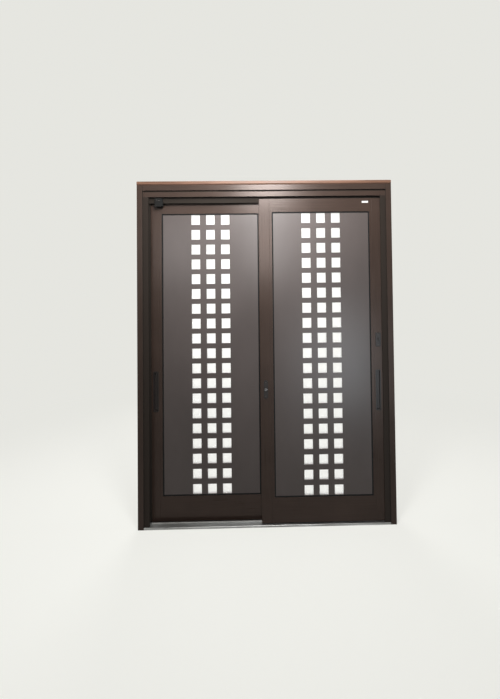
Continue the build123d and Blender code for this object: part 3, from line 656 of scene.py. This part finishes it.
def screwTree():
    tree, given = startTree("Domed screws", {
        "Places": "Geometry", "Segments": "Int", "Rings": "Int", "Dome": "Float",
        "Slot Length": "Float", "Slot Width": "Float", "Slot Depth": "Float",
        "Material": "Material",
    })
    ball = addNode(tree, "GeometryNodeMeshUVSphere", None, {
        "Segments": given["Segments"], "Rings": given["Rings"], "Radius": 1.0,
    }).outputs["Mesh"]
    dome = placeGeometry(tree, ball, scale=combine(tree, 1.0, 1.0, given["Dome"]))
    top = combine(tree, z=given["Dome"])
    cut = addNode(tree, "GeometryNodeMeshBoolean", {"operation": "DIFFERENCE"}, {"Mesh 1": dome})
    for x, y in (("Slot Length", "Slot Width"), ("Slot Width", "Slot Length")):
        arm = makeBlock(tree, combine(tree, given[x], given[y], given["Slot Depth"]))
        tree.links.new(placeGeometry(tree, arm, top), cut.inputs["Mesh 2"])
    facing, radius = (
        addNode(tree, "GeometryNodeInputNamedAttribute", {"data_type": kind}, {"Name": name})
        for name, kind in (("facing", "FLOAT_VECTOR"), ("headRadius", "FLOAT"))
    )
    turned = addNode(tree, "FunctionNodeAlignRotationToVector", {"axis": "Z"}, {
        "Vector": facing.outputs[0],
    })
    heads = addNode(tree, "GeometryNodeInstanceOnPoints", None, {
        "Points": given["Places"], "Instance": cut.outputs["Mesh"],
        "Rotation": turned.outputs[0], "Scale": radius.outputs[0],
    })
    endTree(tree, heads.outputs[0], given["Material"])
    return tree


def screwPlaces():
    # Body, place, way the head faces and radius of every screw head that the solids leave out
    room, street, left = Vector((0, -1, 0)), Vector((0, 1, 0)), Vector((-1, 0, 0))
    found = []

    def pair(body, middle, facing, owner):
        apart, radius = screws[f"{owner}Apart"], screws[f"{owner}Radius"]
        for end in (-1, 1):
            found.append((body, middle + Vector((0, 0, end * apart)), facing, radius))

    for node, owner in (("edge_lock_cover", "cover"), ("meeting_lock_plate", "plate")):
        middle = middleOf(node)
        middle.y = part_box(node)[0].y
        pair("inner_leaf", middle, room, owner)
    for leaf in leaves:
        for side, facing in (("inside", room), ("outside", street)):
            low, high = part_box(f"{leaf}_{side}_pull")
            middle = (low + high) / 2
            floor = screws["pullFloor"]
            middle.y = high.y - floor if side == "inside" else low.y + floor
            pair(leaf, middle, facing, "pull")
    middle = middleOf("lock_strike")
    middle.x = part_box("lock_strike")[0].x
    pair("frame", middle, left, "strike")
    middle = middleOf("meeting_lock_keeper")
    middle.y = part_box("outer_leaf_leading_stile")[0].y - screws["keeperProud"]
    pair("outer_leaf", middle, room, "keeper")
    low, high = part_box("travel_stop_clamps")
    level = high.z - screws["clampDrop"]
    for corner, inward, facing in ((low, 1, room), (high, -1, street)):
        for step in screws["clampSteps"]:
            place = Vector((corner.x + inward * step, corner.y, level))
            found.append(("frame", place, facing, screws["clampRadius"]))
    return found


def addScrews():
    tree = screwTree()
    places = screwPlaces()
    for body in sorted({place[0] for place in places}):
        mine = [place for place in places if place[0] == body]
        marks = bpy.data.meshes.new(f"{body}_small_screws")
        marks.from_pydata([place[1] for place in mine], [], [])
        facing = marks.attributes.new("facing", "FLOAT_VECTOR", "POINT")
        facing.data.foreach_set("vector", [number for place in mine for number in place[2]])
        # A new attribute moves the others in memory, so the last one is filled before this one
        size = marks.attributes.new("headRadius", "FLOAT", "POINT")
        size.data.foreach_set("value", [place[3] for place in mine])
        heads = growPiece(f"{body}_small_screws", tree, {
            "Segments": screws["segments"], "Rings": screws["rings"], "Dome": screws["dome"],
            "Slot Length": screws["slotLength"], "Slot Width": screws["slotWidth"],
            "Slot Depth": screws["slotDepth"], "Material": finishes["darkScrew"],
        }, marks)
        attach(heads, body)
        print("screws:", heads.name, len(mine), "heads,", len(heads.data.polygons), "faces")


addScrews()


# Pile strips: a woven tape with rows of fine fibres

pile = {
    "tape": 0.001,
    "rows": 4,
    "rowsShare": 0.7,
    "spacing": 0.0016,
    "fibre": 0.00022,
    "fibreSides": 4,
    "lean": 7.0,
    "seed": 5,
}


def pileTree():
    # Fibres stand along +Z on a tape in the plane of X and Y, and the whole is turned about X
    tree, given = startTree("Pile strip", {
        "Width": "Float", "Length": "Float", "Reach": "Float", "Tape": "Float", "Rows": "Int",
        "Rows Share": "Float", "Spacing": "Float", "Fibre": "Float", "Fibre Sides": "Int",
        "Lean": "Float", "Seed": "Int", "Turn": "Vector", "Place": "Vector",
        "Material": "Material",
    })
    count = calculate(tree, "FLOOR", calculate(tree, "DIVIDE", given["Length"], given["Spacing"]))
    grid = addNode(tree, "GeometryNodeMeshGrid", None, {
        "Size X": multiply(tree, given["Width"], given["Rows Share"]), "Size Y": given["Length"],
        "Vertices X": given["Rows"], "Vertices Y": count,
    }).outputs["Mesh"]
    length = calculate(tree, "SUBTRACT", given["Reach"], given["Tape"])
    fibre = addNode(tree, "GeometryNodeMeshCone", None, {
        "Vertices": given["Fibre Sides"], "Radius Top": 0.0, "Radius Bottom": given["Fibre"],
        "Depth": length,
    }).outputs["Mesh"]
    lean = calculate(tree, "RADIANS", given["Lean"])
    back = multiply(tree, lean, -1.0)
    tilt = addNode(tree, "FunctionNodeRandomValue", {"data_type": "FLOAT_VECTOR"}, {
        "Min": combine(tree, back, back), "Max": combine(tree, lean, lean), "Seed": given["Seed"],
    }).outputs[0]
    fibres = addNode(tree, "GeometryNodeInstanceOnPoints", None, {
        "Points": grid, "Instance": fibre, "Rotation": tilt,
    }).outputs[0]
    lifted = placeGeometry(tree, fibres, combine(tree, z=given["Tape"]))
    tape = makeBlock(tree, combine(tree, given["Width"], given["Length"], given["Tape"]))
    laid = placeGeometry(tree, tape, combine(tree, z=multiply(tree, given["Tape"], 0.5)))
    both = joinGeometry(tree, laid, lifted)
    endTree(tree, placeGeometry(tree, both, given["Place"], given["Turn"]), given["Material"])
    return tree


def addPile():
    tree = pileTree()
    for leaf, turn in zip(leaves, (-math.pi / 2, math.pi / 2)):
        low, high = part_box(f"{leaf}_pile_strip")
        middle = (low + high) / 2
        root = low.y if leaf == "inner_leaf" else high.y
        strip = growPiece(f"{leaf}_pile_fibres", tree, {
            "Width": high.x - low.x, "Length": high.z - low.z, "Reach": high.y - low.y,
            "Tape": pile["tape"], "Rows": pile["rows"], "Rows Share": pile["rowsShare"],
            "Spacing": pile["spacing"], "Fibre": pile["fibre"], "Fibre Sides": pile["fibreSides"],
            "Lean": pile["lean"], "Seed": pile["seed"], "Turn": (turn, 0.0, 0.0),
            "Place": (middle.x, root, middle.z), "Material": finishes["pileFibre"],
        })
        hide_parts(f"{leaf}_pile_strip")
        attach(strip, leaf)
        print("pile strip:", strip.name, len(strip.data.polygons), "faces")


addPile()


# Bare plate on the inner leaf's top rail

plate = {"x": (0.651, 0.693), "z": (2.126, 2.138), "thickness": 0.0007, "edge": 0.0003}


def addPlate():
    mesh = bpy.data.meshes.new("top_rail_plate")
    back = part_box("inner_leaf_top_rail")[0].y
    front = back - plate["thickness"]
    corners = [(x, y, z) for x in plate["x"] for y in (front, back) for z in plate["z"]]
    sides = [(0, 1, 3, 2), (4, 6, 7, 5), (0, 4, 5, 1), (2, 3, 7, 6), (0, 2, 6, 4), (1, 5, 7, 3)]
    mesh.from_pydata(corners, [], sides)
    mesh.materials.append(finishes["plateWhite"])
    piece = bevelPiece(addObject("top_rail_plate", mesh), plate["edge"])
    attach(piece, "inner_leaf")
    print("plate:", piece.name, len(piece.data.polygons), "faces")


addPlate()


# Stage

stageLook = {
    "background": (0.79, 0.79, 0.748, 1.0),
    "floor": (0.28, 0.28, 0.266, 1.0),
    "floorRoughness": 0.8,
    "floorSpecular": 0.2,
    "floorGlow": 0.84,
    "floorSize": 30.0,
    "fade": (1.2, 4.0),
    "worldLight": 0.06,
}


def glowSeen(tree, strength):
    # Strength for camera, mirror and glass rays alone, so that the stage lights nothing
    path = tree.nodes.new("ShaderNodeLightPath").outputs
    direct = calculate(tree, "MAXIMUM", path["Is Camera Ray"], path["Is Glossy Ray"])
    direct = calculate(tree, "MAXIMUM", direct, path["Is Transmission Ray"])
    return multiply(tree, direct, strength)


def backdropGlow(tree, strength):
    inputs = {"Color": stageLook["background"], "Strength": glowSeen(tree, strength)}
    return addNode(tree, "ShaderNodeEmission", None, inputs).outputs[0]


def makeFloor():
    # Pale floor that fades into the background colour, so that no horizon shows
    mesh = bpy.data.meshes.new("studioFloor")
    half = stageLook["floorSize"] / 2
    corners = [(-half, -half, 0), (half, -half, 0), (half, half, 0), (-half, half, 0)]
    mesh.from_pydata(corners, [], [(0, 1, 2, 3)])
    floor = addObject("studioFloor", mesh)
    material, tree, shader, coords = startFinish("studioFloor", {
        "Base Color": stageLook["floor"], "Roughness": stageLook["floorRoughness"],
        "Specular IOR Level": stageLook["floorSpecular"],
    })
    own = backdropGlow(tree, stageLook["floorGlow"])
    lit = addNode(tree, "ShaderNodeAddShader", None, {0: shader.outputs[0], 1: own}).outputs[0]
    glow = backdropGlow(tree, 1.0)
    away = addNode(tree, "ShaderNodeVectorMath", {"operation": "LENGTH"}, {0: coords})
    near, far = stageLook["fade"]
    fade = addNode(tree, "ShaderNodeMapRange", {"interpolation_type": "SMOOTHSTEP"}, {
        "Value": away.outputs["Value"], "From Min": near, "From Max": far,
    }).outputs[0]
    mixed = addNode(tree, "ShaderNodeMixShader", None, {0: fade, 1: lit, 2: glow}).outputs[0]
    tree.links.new(mixed, tree.nodes["Material Output"].inputs["Surface"])
    mesh.materials.append(material)


def makeWorld():
    # The background as the camera, mirrors and glass see it, and a plain soft light for the rest
    world = bpy.data.worlds.new("studio")
    bpy.context.scene.world = world
    world.use_nodes = True
    tree = world.node_tree
    tree.nodes.clear()
    looks = (stageLook["background"], 1.0), ((1.0, 1.0, 1.0, 1.0), stageLook["worldLight"])
    seen, light = (
        addNode(tree, "ShaderNodeBackground", None, {"Color": color, "Strength": strength})
        for color, strength in looks
    )
    inputs = {0: glowSeen(tree, 1.0), 1: light.outputs[0], 2: seen.outputs[0]}
    mixed = addNode(tree, "ShaderNodeMixShader", None, inputs).outputs[0]
    end = tree.nodes.new("ShaderNodeOutputWorld")
    tree.links.new(mixed, end.inputs["Surface"])


lamps = {
    "ceilingLamp": {
        "place": (-0.02, -1.25, 2.59), "aim": (0.0, 0.0, 1.9), "size": (0.45, 0.3), "watts": 37.0,
    },
    "ceilingGlow": {
        "place": (-0.1, -0.95, 2.85), "aim": (0.0, 0.0, 1.7), "size": (1.0, 0.5), "watts": 11.0,
        "unseenBy": "visible_glossy",
    },
    "upperGleam": {
        "place": (-0.02, -1.75, 2.05), "aim": (-0.02, 0.0, 1.85), "size": (0.3, 0.7),
        "watts": 16.0, "unseenBy": "visible_diffuse",
    },
    "leftGleam": {
        "place": (-1.02, -1.75, 1.98), "aim": (-0.55, 0.0, 1.8), "size": (0.25, 0.6),
        "watts": 6.5, "unseenBy": "visible_diffuse",
    },
    "sideGleam": {
        "place": (0.97, -2.95, 0.42), "aim": (0.5, 0.0, 1.1), "size": (0.25, 1.3),
        "watts": 45.0, "unseenBy": "visible_diffuse", "color": (0.84, 0.93, 1.0),
    },
    "leftLight": {
        "place": (-3.6, 0.0, 1.7), "aim": (0.0, 0.0, 1.1), "size": (0.8, 1.6), "watts": 24.0,
    },
    "rightLight": {
        "place": (3.6, 0.0, 1.7), "aim": (0.0, 0.0, 1.1), "size": (0.8, 1.6), "watts": 24.0,
    },
    "streetLight": {
        "place": (-0.6, 3.2, 2.2), "aim": (0.0, 0.0, 1.1), "size": (1.8, 1.8), "watts": 65.0,
        "unseenBy": "visible_transmission",
    },
}


def makeLamps():
    for name, lamp in lamps.items():
        light = bpy.data.lights.new(name, "AREA")
        light.shape = "RECTANGLE"
        light.size, light.size_y = lamp["size"]
        light.energy = lamp["watts"]
        light.color = lamp.get("color", (1.0, 1.0, 1.0))
        holder = addObject(name, light)
        holder.location = lamp["place"]
        if "unseenBy" in lamp:
            setattr(holder, lamp["unseenBy"], False)
        reach = Vector(lamp["aim"]) - Vector(lamp["place"])
        holder.rotation_euler = reach.to_track_quat("-Z", "Y").to_euler()


view = {
    "place": (0.065, -2.633, 1.6086),
    "yaw": 1.0696,
    "pitch": 1.2233,
    "roll": -0.6725,
    "focalPixels": 389.35,
    "centre": (282.56, 272.45),
    "picture": (500, 699),
    "sensor": 36.0,
}


def makeCamera():
    yaw, pitch, roll = (math.radians(view[turn]) for turn in ("yaw", "pitch", "roll"))
    level = math.cos(pitch)
    forward = Vector((math.sin(yaw) * level, math.cos(yaw) * level, math.sin(pitch)))
    right = Vector((math.cos(yaw), -math.sin(yaw), 0.0))
    up = right.cross(forward)
    turnedRight = math.cos(roll) * right + math.sin(roll) * up
    turnedUp = math.cos(roll) * up - math.sin(roll) * right
    width, height = view["picture"]
    camera = bpy.data.cameras.new("photoView")
    camera.sensor_width = view["sensor"]
    camera.lens = view["focalPixels"] * camera.sensor_width / height
    camera.shift_x = (width / 2 - view["centre"][0]) / height
    camera.shift_y = (view["centre"][1] - height / 2) / height
    holder = addObject("photoView", camera)
    turn = Matrix((turnedRight, turnedUp, -forward)).transposed()
    holder.matrix_world = Matrix.Translation(view["place"]) @ turn.to_4x4()
    bpy.context.scene.camera = holder


makeFloor()
makeWorld()
makeLamps()
makeCamera()
bpy.context.scene.view_settings.view_transform = "Standard"
print("stage set:", len(lamps), "lamps")
